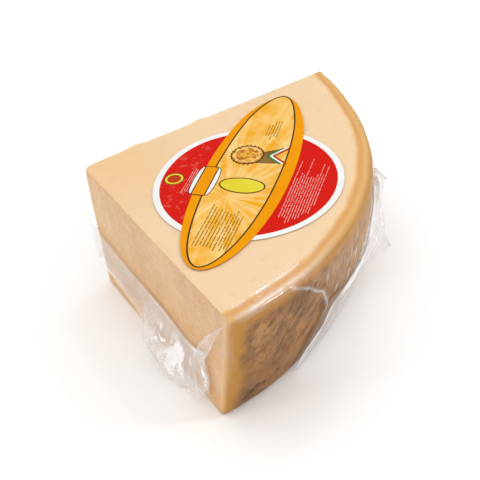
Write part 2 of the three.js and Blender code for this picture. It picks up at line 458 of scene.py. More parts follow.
def film_material():
    """Clear plastic film: haze, pale, streak and gloss say how milky, white, streaked and glossy it is.

    The streaks run the way that along counts, in mm, and across doesn't.
    """
    n = Nodes("pouch film")
    across = n.math("DIVIDE", n.value("across"), STREAK_WIDTH)
    along = n.math("DIVIDE", n.value("along"), STREAK_LENGTH)
    place = n.add("CombineXYZ", X=across, Y=along).outputs[0]
    streaks = n.add("TexNoise", Vector=place, Scale=1.0, Detail=3.0, Roughness=0.6)
    lines = n.math("MULTIPLY", n.range(streaks.outputs["Fac"], 0.52, 0.72), n.value("streak"))
    patchy = n.math("MULTIPLY", n.value("haze"), n.range(n.noise(55, 2), 0.3, 0.7, 0.8, 1.2))
    haze = n.math("ADD", patchy, lines, clamp=True)
    ripple = n.bump(n.noise(70, 1), 0.0012, 0.2)
    clear = n.add("BsdfTransparent", Color=grey(0.99))
    whiteness = n.mix(n.value("pale"), (0.74, 0.70, 0.69), (0.99, 0.96, 0.95))
    milk = n.add("BsdfPrincipled", Base_Color=whiteness, Roughness=0.35, Normal=ripple)
    body = n.add("MixShader", Fac=haze, i1=clear.outputs[0], i2=milk.outputs[0])
    mirror = n.add("BsdfGlossy", Color=grey(1.0), Roughness=0.07, Normal=ripple)
    return n.finish(n.add("MixShader", Fac=n.value("gloss"), i1=body.outputs[0], i2=mirror.outputs[0]))


def paper_material(name, first, second, pattern=None):
    """Printed paper between two colours, mottled or in a pattern."""
    n = Nodes(name)
    tone = pattern(n) if pattern else n.range(n.noise(40, 3), 0.3, 0.7)
    colour = n.mix(tone, first, second)
    normal = n.bump(n.noise(900, 3), 0.00003, 0.3)
    return n.finish(n.add(
        "BsdfPrincipled", Base_Color=colour, Normal=normal, Roughness=0.55, Specular_IOR_Level=0.03,
    ))


# ---- cheese
FLECKS = 110
FRONT_FLECKS, ALL_FLECKS = ((11, 27), (40, 98)), ((5, 87), (10, 98))  # ranges of angle and height
FLECK_SLANT = (58, 12)  # mean and spread of the flecks' lean from level, in degrees
HEEL_PITS = ((4.9, 13, 2.0), (6.2, 16, 3.2), (7.8, 19.5, 2.6), (9.4, 18, 1.8), (13, 22, 1.6))


def rind_flecks(angle, z, rng):
    """Depth from 0 to 1 of the short slanting marks on the rind, thickest in its front half."""
    depth = np.zeros(angle.shape)
    along = np.radians(angle) * WHEEL_RADIUS
    for _ in range(FLECKS):
        angles, heights = FRONT_FLECKS if rng.random() < 0.5 else ALL_FLECKS
        dx, dz = along - math.radians(rng.uniform(*angles)) * WHEEL_RADIUS, z - rng.uniform(*heights)
        slant = math.radians(rng.normal(*FLECK_SLANT))
        length, width = rng.uniform(2.5, 7.5), rng.uniform(0.7, 1.5)
        a = dx * math.cos(slant) + dz * math.sin(slant)
        b = dz * math.cos(slant) - dx * math.sin(slant)
        near = (a / length) ** 2 + (b / width) ** 2
        depth = np.maximum(depth, rng.uniform(0.35, 1.0) * np.exp(-near))
    for where, height, reach in HEEL_PITS:
        pit = np.hypot((along - math.radians(where) * WHEEL_RADIUS) / 1.5, z - height) / reach
        depth = np.maximum(depth, np.exp(-(pit**3)))
    return depth


def face_relief(points):
    """Slow unevenness of the cut faces and the top, from about -1 to 1."""
    return fractal(points, 48, 2, 1)


def broad_relief(points, rind):
    """Slow swells of the cheese, in mm along its normals, which the film follows too."""
    cut = (1 - rind) * (0.35 + 0.15 * ease(HEIGHT - points[..., 2], 0, 6))
    relief = cut * face_relief(points) + 0.5 * rind * fractal(points, 34, 2, 3)
    return relief * ease(points[..., 2], 0, 6)


def over_rind(z):
    """1 below the rind's upper edge, 0 on the shoulder above it."""
    return ease(EDGE_Z + 4.2 - z, 0, 3)


def build_cheese():
    grid = wedge_rows(CHEESE_COLUMNS, side_rows=86, top_rings=46, bottom_rings=12)
    normals = grid_normals(grid, wrap=True)
    weight = rind_weight(CHEESE_COLUMNS)[None]
    x, y, z = grid[..., 0], grid[..., 1], grid[..., 2]
    radius = np.hypot(x, y)
    angle = np.degrees(np.arctan2(y, x))
    rind = weight * over_rind(z)
    cut = 1 - rind
    upright = (1 - weight) * (1 - ease(np.abs(normals[..., 2]), 0.25, 0.85))
    under = np.clip(side_radius(np.clip(z, 0, EDGE_Z)) - radius, 0, 60)

    # Relief: broad swells, grain of the cut, chips and wear along the top edges, marks on the rind
    fleck = rind_flecks(angle, z, np.random.default_rng(11)) * rind
    top_edge = peak(z, HEIGHT, 5)
    front_edge = top_edge * peak(y, 0, 5)
    chips = np.clip(fractal(grid, 11, 3, 5) - 0.1, 0, 1) * front_edge * (0.15 + 0.85 * peak(x, 18, 34))
    push = broad_relief(grid, rind)
    push += 0.12 * fractal(grid, 5, 2, 2) * cut * (z > 1)
    push -= 3.0 * chips + 0.9 * front_edge * (1 + noise(grid, 30, 9))
    push += 1.2 * top_edge * peak(x, 0, 5) * (peak(y, 42, 6) + peak(y, 98, 5))
    push += (0.2 * fractal(grid, 15, 2, 6) + 0.12 * fractal(grid, 4, 2, 4)) * rind * ease(z, 0, 6)
    push -= 0.7 * fleck
    detail = grid + normals * push[..., None]
    detail[..., 2] = np.maximum(detail[..., 2], 0.0)

    # Colour: warm borders of the rind; painted shade as an amber band just above the weld; amber near the
    # foot, towards the rear and at the apex
    drift = 1.3 * fractal(grid, 16, 3, 12)
    warm = 1 - ease(angle + drift, 1.2, 4.5) + ease(angle + drift, 85, 88)
    warm = rind * np.clip(warm + 0.8 * ease(z + 2.5 * drift, 97, 107), 0, 1)
    # painted shade: the amber band a little above the weld on the cut faces, shade under the film's seam
    amber_and_weld_shade = 0.55 * peak(z, WELD_Z + 6, 8) + 0.5 * (1 - ease(z, 14, 34))
    amber_and_weld_shade = np.clip(amber_and_weld_shade * (0.8 + 0.5 * noise(grid, 26, 13)), 0, 1) * (y < x) * (1 - weight)
    amber_and_weld_shade = amber_and_weld_shade + 0.55 * rind * ease(angle, 22, 38)
    amber_and_weld_shade = amber_and_weld_shade + 0.5 * (1 - ease(radius, 15, 110)) * ease(z, 104, 111)
    low = 0.45 * rind * (1 - ease(z + 4 * drift, 8, 50))
    return closed_form("cheese_block", detail, {
        "under_rind": under, "rind": rind, "side": upright, "fleck": fleck * 0.95,
        "warm_edge": warm, "amber_and_weld_shade": amber_and_weld_shade, "low": low, "chip": np.clip(chips * 2.4, 0, 0.7),
    })


settle(build_cheese(), "cheese", cheese_material())

# ---- pouch film
# Radius of the weld round the rind, where the film stands off as a tent: [angle, radius]
WELD_ROWS = np.array([
    [0, 201.5], [20, 202], [27, 204], [33, 205], [38, 206], [41.5, 208], [47, 210], [54, 211],
    [60, 215], [66, 219], [75, 218], [84, 206], [90, 202],
])
# The crease that bounds the tent: [height, angle]
ARC_ROWS = np.array([
    [0, 18], [17, 20], [38, 26], [50, 27.5], [73.7, 23.7], [89.5, 19.4], [101.6, 16], [109, 13], [112, 9],
])
ARC_LEAN = 0.75  # the crease runs at a slant, so the way across it is shorter than the way round
# Folds of stretched film: weight, lean, share of the drift, width in mm
STRETCH_FOLDS = ((0.5, 0.16, 1, 8.3), (0.35, -0.10, 0.6, 4.7), (0.25, 0.05, -1, 2.9))
FLAP_FOOT = FLOOR_Z + 0.3


def weld_radius(angle):
    return np.interp(angle, WELD_ROWS[:, 0], WELD_ROWS[:, 1])


def beyond_arc(angle, z):
    """Distance in mm past the crease that bounds the tent, negative where the film is pressed flat."""
    return np.radians(angle - np.interp(z, ARC_ROWS[:, 0], ARC_ROWS[:, 1])) * WHEEL_RADIUS * ARC_LEAN


def tent_height(angle, z):
    stand_off = weld_radius(angle) - side_radius(WELD_Z)
    above = (EDGE_Z + 1 - z) / (EDGE_Z + 1 - WELD_Z)
    below = (z - 3) / (WELD_Z - 3)
    full = stand_off * np.clip(np.minimum(above, below), 0, 1) * ease(beyond_arc(angle, z), -2, 22)
    return np.maximum(full - rind_swell(angle, z), 0.8 * ease(full, 0, 2))


def film_skin(name, rows, cap):
    """One sheet of film over some rows of the wedge grid, closed at its top or its base."""
    grid = wedge_rows(FILM_COLUMNS, **FILM_RINGS)
    normals = grid_normals(grid, wrap=True)
    weight = rind_weight(FILM_COLUMNS)[None] * np.ones(grid.shape[:2])
    x, y, z = grid[..., 0], grid[..., 1], grid[..., 2]
    radius, angle = np.hypot(x, y), np.degrees(np.arctan2(y, x))
    around = np.where(weight > 0.5, 215 + np.radians(angle) * WHEEL_RADIUS, np.where(x > y, x, -y))
    upright = 1 - ease(np.abs(normals[..., 2]), 0.3, 0.9)

    # Shape: the tent, its stretched folds, the crease that bounds it, and pleats by the front corner
    past = beyond_arc(angle, z)
    loose = weight * ease(past, 0, 14) * ease(EDGE_Z + 2 - z, 0, 14) * ease(angle, 92, 84)
    drift = 5 * noise(grid, 40, 21)
    folds = sum(
        strength * crease((around + lean * z + share * drift) / width)
        for strength, lean, share, width in STRETCH_FOLDS
    )
    arc_line = peak(past + 1.5 * noise(grid, 14, 17), 0, 1.5) * weight * ease(z, 2, 12) * upright
    arc_line *= (0.25 + 0.75 * ease(z, 36, 50)) * (0.75 + 0.25 * noise(grid, 6, 18))
    edge_pull = peak(x, WHEEL_RADIUS - 8, 9) * (y < 3) * upright
    push = broad_relief(grid, weight * over_rind(z)) + FILM_GAP + tent_height(angle, z) * weight
    push += loose * folds * (0.45 + 0.5 * peak(z, WELD_Z, 35)) + 1.3 * arc_line
    push += 0.25 * edge_pull * crease(x / 2.7 + 0.02 * z) * (x < WHEEL_RADIUS - 1)
    skin = grid + normals * push[..., None]
    skin[..., 2] = np.maximum(skin[..., 2], FLOOR_Z + 0.2)

    # Milkiness: painted highlights as two broken white lines along the shoulder's step, partly the whitening
    # of film stretched over it; folds, and the foot
    shelf = ease(z, SHOULDER_Z - 4, SHOULDER_Z - 2.5) * peak(angle, 10.5, 8.5) ** 0.5
    wander = 1.2 * noise(grid, 20, 14)
    inner = peak(radius + 0.4 * wander, WHEEL_RADIUS - 10.4, 0.9)
    outer = peak(radius + 0.6 * wander, WHEEL_RADIUS - 2.9, 2.3)
    # painted highlights: white haze in two lines along the shoulder, where the lamps' highlights fall on the
    # film
    painted_rim_highlight = 0.6 * inner * ease(noise(grid, 9, 15), -0.7, 0.1)
    painted_rim_highlight += 0.5 * outer * ease(noise(grid, 7, 16), -1.5, 0.0)
    painted_rim_highlight *= shelf * ease(angle, 1.0, 2.5)
    haze = 0.01 + 0.04 * loose + 0.6 * arc_line + 0.07 * edge_pull + painted_rim_highlight
    haze += loose * 0.20 * np.clip(folds, 0, 1) ** 3
    haze += 0.2 * weight * ease(past, -3, 4) * (z < WELD_Z) * upright * ease(z, 0, 10)
    pulled = (1 - weight) * upright * ease(x, 110, 150) * peak(noise(grid, 22, 8), 0.6, 0.3)
    values = {
        "haze": haze, "streak": 0.5 * loose + 0.2 * edge_pull + 0.28 * pulled, "across": around, "along": z,
        "gloss": 0.022 + 0.03 * shelf, "pale": np.clip(0.4 * loose + 2 * painted_rim_highlight + arc_line + edge_pull, 0, 1),
    }
    return sheet_object(name, skin[rows], {key: v[rows] for key, v in values.items()}, wrap=True, cap=cap)


def sheet_object(name, grid, attributes, wrap=False, cap=None, gloss=0.06):
    """A single sheet over a grid of points; a cap closes its first or last row with a fan."""
    rows, columns = grid.shape[:2]
    points = grid.reshape(-1, 3)
    pale = np.clip(attributes["haze"] * 2 - 0.3, 0, 1)
    attributes = {"gloss": np.full((rows, columns), gloss), "pale": pale, **attributes}
    values = {key: v.reshape(-1) for key, v in attributes.items()}
    faces = grid_faces(rows, columns, wrap)
    if cap:
        edge = 0 if cap == "base" else rows - 1
        points = np.vstack([points, grid[edge].mean(0)])
        values = {key: np.append(v, attributes[key][edge].mean()) for key, v in values.items()}
        for j in range(columns):
            pair = [edge * columns + j, edge * columns + (j + 1) % columns]
            faces.append([rows * columns] + (pair[::-1] if cap == "base" else pair))
    thing = add_object(name, points, faces, values)
    thing.visible_shadow = False
    return thing


def film_side_row(z):
    """Row of the film grid at height z on the wedge's sides."""
    heights = np.linspace(CUT_ROUNDING, EDGE_Z, FILM_RINGS["side_rows"])
    first = FILM_RINGS["bottom_rings"] - 1 + len(FOOT_STEPS) - 1
    return first + int(np.argmin(np.abs(heights - z)))


def facets(u, v, size, seed):
    """Flat triangular facets meeting in sharp ridges, as in crushed film: height from -1 to 1."""
    flat = xyz(u, v)
    a = u / size + 0.55 * noise(flat, size * 1.7, seed + 1) + 0.12 * noise(flat, size * 0.6, seed + 5)
    b = v / size + 0.55 * noise(flat, size * 1.7, seed + 2) + 0.35 * a
    i, j = np.floor(a), np.floor(b)
    f, g = a - i, b - j
    k, l, m, n = (lattice(xyz(i + p, j + q), seed) for p in (0, 1) for q in (0, 1))
    rising = np.where(f > g, k + f * (m - k) + g * (n - m), k + g * (l - k) + f * (n - l))
    falling = np.where(f + g < 1, k + f * (m - k) + g * (l - k), n + (1 - f) * (l - n) + (1 - g) * (m - n))
    return np.where(lattice(xyz(i, j, 7), seed) > 0, rising, falling)


def sharp_lines(height):
    """1 along the sharpest ridges of a sheet's folds, falling off quickly beside them."""
    bend = sum(np.abs(np.gradient(np.gradient(height, axis=k), axis=k)) for k in (0, 1))
    for _ in range(3):
        for axis in (0, 1):
            bend = (np.roll(bend, 1, axis) + 2 * bend + np.roll(bend, -1, axis)) / 4
    return np.clip(bend / (np.percentile(bend, 98.5) + 1e-9), 0, 1) ** 1.5


def displaced(base, height):
    return base + grid_normals(base) * height[..., None]


def down(rows, columns):
    """0 all along a grid's first row, rising to 1 along its last."""
    return np.linspace(0, 1, rows)[:, None] * np.ones((1, columns))


# The front flap along x: height of its weld, height of its free edge, how far it stands out
FRONT_WELD = np.array([
    [-5, 62], [0, 60], [12, 55], [60, 52], [112, 51.5], [143, 46.5], [156, 47.5], [168, 53], [177, 57],
])
FRONT_FREE = np.array([
    [-5, 28], [5, 21], [40, 18], [66, 15], [74, 8], [84, 2.5], [98, 0.6], [152, 0.6], [160, 2],
    [168, 9], [177, 26],
])
FRONT_OUT = np.array([
    [-5, 2], [5, 1.2], [60, 1.2], [72, 3], [84, 5], [95, 6.5], [125, 8], [145, 6], [165, 3], [177, 1.5],
])


def front_flap(name, seed, lift, columns=300, rows=110):
    """Border of the pouch on the front face: flat at the apex, a crushed lobe down to the floor beyond."""
    x = np.linspace(-5, 176, columns)[None] * np.ones((rows, 1))
    v = down(rows, columns)
    top, low, out = (np.interp(x, table[:, 0], table[:, 1]) for table in (FRONT_WELD, FRONT_FREE, FRONT_OUT))
    low = np.maximum(low + 1.6 * fractal(xyz(x, 0, seed), 13, 3, seed), 0.3)
    shelf, lobe, wrap = peak(x, 118, 24), ease(x, 68, 98), peak(x, -4, 8)
    z = top + (low - top) * (v + 0.62 * shelf * np.sin(2 * np.pi * v) / (2 * np.pi))
    face = -FILM_GAP - 0.9 - lift - 0.5 * face_relief(xyz(x, 0, z))
    belly = np.sin(np.pi * v ** 0.8)
    fall = v**1.6 * (1 - shelf) + ease(v, 0.2, 0.75) * (1.25 - 0.25 * v) * shelf
    bulge = 9 * peak(x, 112, 28) * peak(z, 19, 15)
    y = face - out * (0.15 * belly + 0.85 * fall) * (1 - 0.8 * wrap) - wrap * 1.2 * belly - bulge
    shift = lobe * v * (4 * noise(xyz(x, z), 30, seed)) + 2.0 * wrap * v

    run = (1 - v) * 50
    pressed = 0.5 * facets(x * 0.4, run, 9, seed) + 0.2 * facets(x, run, 6, seed + 1)
    folds = 4.2 * facets(x, run * 0.45, 14, seed + 2)
    crushed = folds + 1.0 * facets(x, run * 0.8, 7, seed + 4)
    below_weld = ease(v, 0, 0.22)
    points = displaced(xyz(x + shift, y, z), (pressed * (1 - lobe) + crushed * lobe) * below_weld)
    points[..., 1] = np.minimum(points[..., 1], face)
    points[..., 2] = np.maximum(points[..., 2], FLAP_FOOT)

    ridges = sharp_lines(folds * below_weld)
    bead = peak(v, 0.0, 0.03) * (0.4 + 0.6 * ease(x, 60, 110))
    hem = peak(v, 0.96, 0.05) * (1 - lobe)
    flat = xyz(x, run)
    cloud = ease(fractal(flat, 17, 2, seed + 9), 0.0, 0.8)
    flakes = ease(facets(x, run * 0.5, 5, seed + 6) + 0.4 * noise(flat, 3, 2), -0.25, 0.15)
    # painted highlights: patches of white haze on the crushed lobe, where the lamps would catch its folds
    painted_glint = peak(x, 136, 9) * peak(z, 21, 15) + 0.9 * peak(x, 161, 8) * peak(z, top - 2, 1.8)
    painted_glint += 0.8 * peak(x, 171, 3) * peak(z, 30, 11) + 0.4 * peak(x, 112, 5) * peak(z, 36, 9)
    painted_glint = ease(painted_glint * flakes, 0.25, 0.5)
    haze = 0.12 + 0.07 * lobe + 0.22 * bead + 0.3 * hem + 0.3 * ridges * lobe + 0.22 * cloud * lobe
    haze = haze + 0.1 * wrap + 0.8 * painted_glint + 0.15 * peak(x, -5, 4)
    return sheet_object(name, points, {
        "haze": haze, "streak": 0.16 + 0.05 * lobe, "across": run * 1.6 + 0.25 * x, "along": x,
        "pale": np.clip(0.8 + 0.2 * painted_glint + 0.3 * ridges, 0, 1),
    }, gloss=0.07)


# Free edge of the flap round the rind: [angle, radius, height]
EAR_FREE = np.array([
    [20, 188, 2], [28, 186, 2], [36, 188, 2.5], [44, 193, 4], [49, 199, 12], [51, 213, 21], [53, 228.5, 31],
    [58, 222, 44], [63, 222.5, 50], [69, 233, 52], [76, 227, 50], [84, 219, 49],
])


def rind_flap(name, seed, columns=340, rows=90):
    """Border of the pouch round the rind: it hangs to the foot in front and stands out as an ear behind."""
    v = down(rows, columns)
    start = np.interp(WELD_Z * (1 - v), [0, 17, 38, 52], [19, 20, 26, 28])
    angle = start + (84 - start) * np.linspace(0, 1, columns)[None] ** 0.9
    turn = np.radians(angle)
    free_z = np.interp(angle, EAR_FREE[:, 0], EAR_FREE[:, 2])
    free_r = np.interp(angle, EAR_FREE[:, 0], EAR_FREE[:, 1]) - rind_swell(angle, free_z)
    root_r = np.maximum(weld_radius(angle) - rind_swell(angle, WELD_Z), side_radius(WELD_Z) + 1.0) + 1.4
    skin_r = side_radius(np.clip(WELD_Z - (WELD_Z - 2) * v, 0, EDGE_Z)) + 2.2
    ragged = 1.5 * fractal(xyz(angle * 3.7, 0, seed), 14, 3, seed)
    hang = 1 - ease(angle, 44, 53)
    r = root_r + (free_r + ragged * (hang < 0.999) - root_r) * v
    r = np.maximum(r, skin_r) + 1.5 * np.sin(np.pi * v) * hang
    z = WELD_Z + (free_z + 0.6 * ragged - WELD_Z) * (hang * v + (1 - hang) * v**1.25)
    base = xyz(r * np.cos(turn), r * np.sin(turn), z)

    run, around = v * 30, turn * WHEEL_RADIUS
    height = 4.6 * facets(around, run, 19, seed) + 1.0 * facets(around, run, 8, seed + 2)
    height *= ease(v, 0.1, 0.4) * (1 - 0.7 * hang)
    points = displaced(base, height)
    points[..., 2] = np.maximum(points[..., 2], FLAP_FOOT)

    ridges = sharp_lines(height)
    wide = 0.13 + 0.10 * peak(angle, 43, 9)
    bead = (1 - ease(v, wide * 0.7, wide * 1.3)) * ease(angle, 29, 36)
    bead = bead * (0.85 + 0.25 * noise(base, 9, 3))
    front_edge = peak(angle, start, 1.3) * ease(v, 0, 0.1)
    haze = 0.48 - 0.1 * hang + 0.5 * bead + 0.4 * ridges + 0.3 * peak(v, 1, 0.04) + 0.3 * front_edge
    return sheet_object(name, points, {
        "haze": haze, "streak": 0.04 + 0.2 * hang, "across": around, "along": run * 2,
        "pale": np.clip(bead + 0.9 * ridges + front_edge + 0.3 * hang, 0, 1),
    })


def rear_flap(name, seed, columns=260, rows=50):
    """Border of the pouch on the rear cut face, pressed flat against it."""
    y = np.linspace(-2, 201, columns)[None] * np.ones((rows, 1))
    v = down(rows, columns)
    z = WELD_Z + 1 - (31 + 2.5 * fractal(xyz(y), 19, 3, seed)) * v
    face = -FILM_GAP - 0.9 - 0.5 * face_relief(xyz(0, y, z))
    height = facets(y * 0.5, z, 9, seed) * 0.9 * ease(v, 0, 0.3)
    points = xyz(face - 1.6 * v, y, z) - xyz(np.abs(height))
    haze = 0.10 + 0.35 * peak(v, 0.0, 0.04) + 0.4 * peak(v, 0.97, 0.06) + 0.15 * sharp_lines(height)
    return sheet_object(name, points, {"haze": haze, "streak": 0.3 + 0 * v, "across": z * 1.6, "along": y})


PLEAT_PATH = ((163, -5.5, 44), (174, -5, 57), (186, -4.6, 74), (199, -4, 92), (211, -2.2, 107))


def corner_pleat(name, columns=60, rows=22):
    """Twisted pleat of film that runs up the front face to the corner above."""
    t = np.linspace(0, 1, columns)
    path = curve_through(PLEAT_PATH, columns)
    half = 1.2 + 3.9 * np.sin(np.pi * t**0.85) ** 1.2
    ahead = np.gradient(path, axis=0)
    ahead /= np.linalg.norm(ahead, axis=1, keepdims=True)
    side = np.cross(ahead, (0, -1, 0))
    w = np.linspace(-1, 1, rows)[:, None]
    twist = np.radians(-35 + 95 * t)
    lean = side * np.cos(twist)[:, None] + np.array([0, -1, 0]) * np.sin(twist)[:, None]
    across, along = w * half[None], t[None] * 78 + 0 * w
    base = path[None] + lean[None] * across[..., None]
    height = 0.7 * crease(across / 4.2 + along * 0.01) + 0.6 * facets(across, along * 0.5, 5, 5)
    points = displaced(base, height * (1 - 0.5 * np.abs(w)))
    points[..., 1] = np.minimum(points[..., 1], -FILM_GAP - 0.6)
    haze = 0.12 + 0.3 * peak(np.abs(w) + 0 * t[None], 1, 0.2) + 0.2 * sharp_lines(height)
    whole = np.ones_like(haze)
    return sheet_object(name, points, {
        "haze": haze, "streak": 0.35 * whole, "across": across * 1.5, "along": along, "pale": 0.7 * whole,
    })


FILM = film_material()
WELD_ROW = film_side_row(WELD_Z)
for piece, node in (
    (film_skin("pouch_upper_film", slice(WELD_ROW, None), "top"), "upper_film"),
    (film_skin("pouch_lower_film", slice(0, WELD_ROW + 1), "base"), "lower_film"),
    (front_flap("front_flap_outer", 31, 0.9), "front_seal_flap"),
    (front_flap("front_flap_inner", 47, 0.2), "front_seal_flap"),
    (rind_flap("rind_flap_sheet", 61), "rind_seal_flap"),
    (rear_flap("rear_flap_sheet", 83), "rear_seal_flap"),
    (corner_pleat("corner_pleat"), None),
):
    settle(piece, node, FILM)


# ---- labels
ROUND_CENTRE = (95.5, 86.0)
ROUND_RADIUS = 68.8
RED_RADIUS = ROUND_RADIUS - 4.7  # inside the white border
SEAL_CENTRE = (58.6, 44.7)
OVAL_CENTRE = (88.6, 88.6)
OVAL_REACH = (106.2, 33.2)  # half its length and half its width
PANEL_CENTRE = (86.8, 89.0)
PANEL_REACH = (106.0, 25.4)  # the same of the printed panel inside it
RAY_CENTRE = (101, 63)
TAB_CENTRE = np.array((75.5, 61.0))
MEDAL_CENTRE = (66.5, 102.7)
EMBLEM_CENTRE, EMBLEM_TURN = (97.5, 79.0), math.radians(41.6)
PRINT_TURN = math.radians(131.8)  # direction that the oval and all the printing run in
READING = np.array([math.cos(PRINT_TURN), math.sin(PRINT_TURN)])
DOWN_PAGE = np.array([READING[1], -READING[0]])
PRINT_THICKNESS = 0.06


def top_skin(places):
    """Places on the pouch's top, lifted to the film there."""
    points = xyz(places[..., 0], places[..., 1], HEIGHT)
    points[..., 2] += broad_relief(points, 0 * points[..., 0]) + FILM_GAP
    return points


def ellipse(centre, reach, count, turn=PRINT_TURN):
    a = np.linspace(0, 2 * math.pi, count, endpoint=False)
    along, across = reach[0] * np.cos(a), reach[1] * np.sin(a)
    x = along * math.cos(turn) - across * math.sin(turn)
    return np.array(centre) + np.stack([x, along * math.sin(turn) + across * math.cos(turn)], -1)


def rectangle(centre, length, width, rounding=1.5, count=120):
    """Outline of a rectangle along the print, counter-clockwise, its points evenly spaced."""
    corners = []
    for k, (sx, sy) in enumerate([(1, -1), (1, 1), (-1, 1), (-1, -1)]):
        for a in np.radians(np.linspace(-90, 0, 6) + 90 * k):
            corners.append((sx * (length / 2 - rounding) + rounding * math.cos(a),
                            sy * (width / 2 - rounding) + rounding * math.sin(a)))
    loop = np.array(corners + corners[:1])
    gone = np.concatenate([[0], np.cumsum(np.linalg.norm(np.diff(loop, axis=0), axis=1))])
    even = np.linspace(0, gone[-1], count, endpoint=False)
    p = np.stack([np.interp(even, gone, loop[:, k]) for k in (0, 1)], -1)
    return np.array(centre) + p @ np.array([READING, -DOWN_PAGE])


def plate(name, rim, lift, material, replaced=None, slot="amber_label", thickness=PRINT_THICKNESS, rings=4):
    """A thin closed sheet with the given outline, its upper side lifted so far off the pouch's top."""
    middle = rim.mean(0)
    rows = [middle + (rim - middle) * k for k in np.linspace(0.1, 1, rings)]
    under, over = top_skin(np.array(rows)), top_skin(np.array(rows[::-1]))
    under[..., 2] += lift - thickness
    over[..., 2] += lift
    thing = closed_form(name, np.concatenate([under, over]), {})
    thing.data.set_sharp_from_angle(angle=math.radians(40))
    settle(thing, replaced, material)


def band(name, rim, width, lift, material, slot="amber_label"):
    """A thin closed line of even width just inside an outline."""
    ahead = np.roll(rim, -1, 0) - np.roll(rim, 1, 0)
    ahead /= np.linalg.norm(ahead, axis=1, keepdims=True)
    inner = rim + np.stack([-ahead[:, 1], ahead[:, 0]], -1) * width
    rows = top_skin(np.array([inner, rim, rim, inner]))
    rows[:2, :, 2] += lift - PRINT_THICKNESS
    rows[2:, :, 2] += lift
    count = len(rim)
    around = [(j, (j + 1) % count) for j in range(count)]
    faces = [
        [low + j, low + k, high + k, high + j]
        for low, high in ((i * count, (i + 1) % 4 * count) for i in range(4)) for j, k in around
    ]
    thing = add_object(name, rows.reshape(-1, 3), faces)
    thing.data.set_sharp_from_angle(angle=math.radians(40))
    settle(thing, None, material)


BAR_FACES = np.array([[3, 2, 1, 0], [4, 5, 6, 7], [0, 1, 5, 4], [1, 2, 6, 5], [2, 3, 7, 6], [3, 0, 4, 7]])


def strokes(name, lines, lift, material, slot="amber_label"):
    """Thin closed bars, one for each (start, end, width)."""
    points, faces = [], []
    for start, end, width in lines:
        ahead = (end - start) / np.linalg.norm(end - start)
        side = np.array([-ahead[1], ahead[0]]) * width / 2
        base = top_skin(np.array([start - side, end - side, end + side, start + side]))
        faces += (BAR_FACES + len(points)).tolist()
        points += [*(base + (0, 0, lift - PRINT_THICKNESS)), *(base + (0, 0, lift))]
    thing = add_object(name, points, faces)
    thing.data.shade_flat()
    settle(thing, None, material)


def print_lines(first, rows, spacing, starts, ends, rng, width=0.5):
    """Bars standing for lines of small print that start and end in two ranges, broken into words."""
    bars = []
    for k in range(rows):
        place, end = rng.uniform(*starts), rng.uniform(*ends)
        line_start = np.array(first) + DOWN_PAGE * spacing * k
        while place < end:
            word = rng.uniform(3.0, 10.0)
            bars.append((line_start + READING * place, line_start + READING * min(place + word, end), width))
            place += word + rng.uniform(0.8, 1.3)
    return bars


def scaled_place(n, centre, reach, turn):
    """Place about a centre on the top, turned, in units of a reach each way, as a node socket."""
    mapped = n.add("Mapping", Vector=n.add("TexCoord").outputs["Object"], Rotation=(0, 0, turn),
                   Location=(*to_world((*centre, 0))[:2], 0), Scale=(reach * MM, reach * MM, 1e6))
    mapped.vector_type = "TEXTURE"
    return mapped.outputs[0]


def pattern_noise(n, place, scale, detail, rough=0.5):
    return n.add("TexNoise", Vector=place, Scale=scale, Detail=detail, Roughness=rough).outputs["Fac"]


def red_pattern(n):
    """Faint slanting marks, thickest at the label's upper left."""
    place = scaled_place(n, ROUND_CENTRE, ROUND_RADIUS, PRINT_TURN + 0.5)
    left = n.range(n.add("SeparateXYZ", Vector=place).outputs["Y"], 0.05, 0.45)
    return n.math("MULTIPLY", n.range(pattern_noise(n, place, 11.0, 2.0, 0.7), 0.52, 0.66, 0, 0.55), left)


def ray_pattern(n):
    """Soft rays of light spreading from a point on the panel, with paler patches."""
    place = scaled_place(n, RAY_CENTRE, 100, PRINT_TURN)
    turned = n.add("SeparateXYZ", Vector=place)
    bearing = n.math("ARCTAN2", turned.outputs["Y"], turned.outputs["X"])
    fan = pattern_noise(n, n.add("CombineXYZ", X=bearing).outputs[0], 7.0, 2.0)
    rays = n.math("MULTIPLY", n.range(fan, 0.42, 0.6), 0.5)
    patches = n.math("MULTIPLY", n.range(pattern_noise(n, place, 5.5, 4.0), 0.36, 0.64), 0.5)
    return n.math("ADD", rays, patches)


def gold_pattern(n):
    return n.range(n.noise(260, 4, 0.7), 0.4, 0.6)


WHITE_PAPER = paper_material("white label paper", (0.80, 0.80, 0.79), (0.84, 0.84, 0.83))
RED_PAPER = paper_material("red label print", (0.62, 0.011, 0.006), (0.70, 0.10, 0.08), red_pattern)
AMBER_PAPER = paper_material("amber label print", (0.79, 0.29, 0.001), (0.82, 0.315, 0.002))
RAY_PAPER = paper_material("sunray panel print", (0.82, 0.37, 0.008), (0.88, 0.62, 0.24), ray_pattern)
DARK_INK = paper_material("dark ink", (0.045, 0.025, 0.008), (0.08, 0.05, 0.02))
BROWN_INK = paper_material("brown ink", (0.15, 0.08, 0.015), (0.26, 0.15, 0.035))
PALE_INK = paper_material("pale ink", (0.80, 0.46, 0.40), (0.76, 0.32, 0.27))
CREAM_INK = paper_material("cream print", (0.90, 0.72, 0.42), (0.84, 0.62, 0.30))
YELLOW_INK = paper_material("yellow print", (0.70, 0.58, 0.03), (0.76, 0.64, 0.05))
SEAL_RED = paper_material("seal red print", (0.40, 0.03, 0.01), (0.55, 0.06, 0.01))
GOLD_INK = paper_material("gold print", (0.42, 0.13, 0.01), (0.90, 0.50, 0.09), gold_pattern)
GREEN_INK = paper_material("green print", (0.02, 0.16, 0.04), (0.03, 0.22, 0.06))


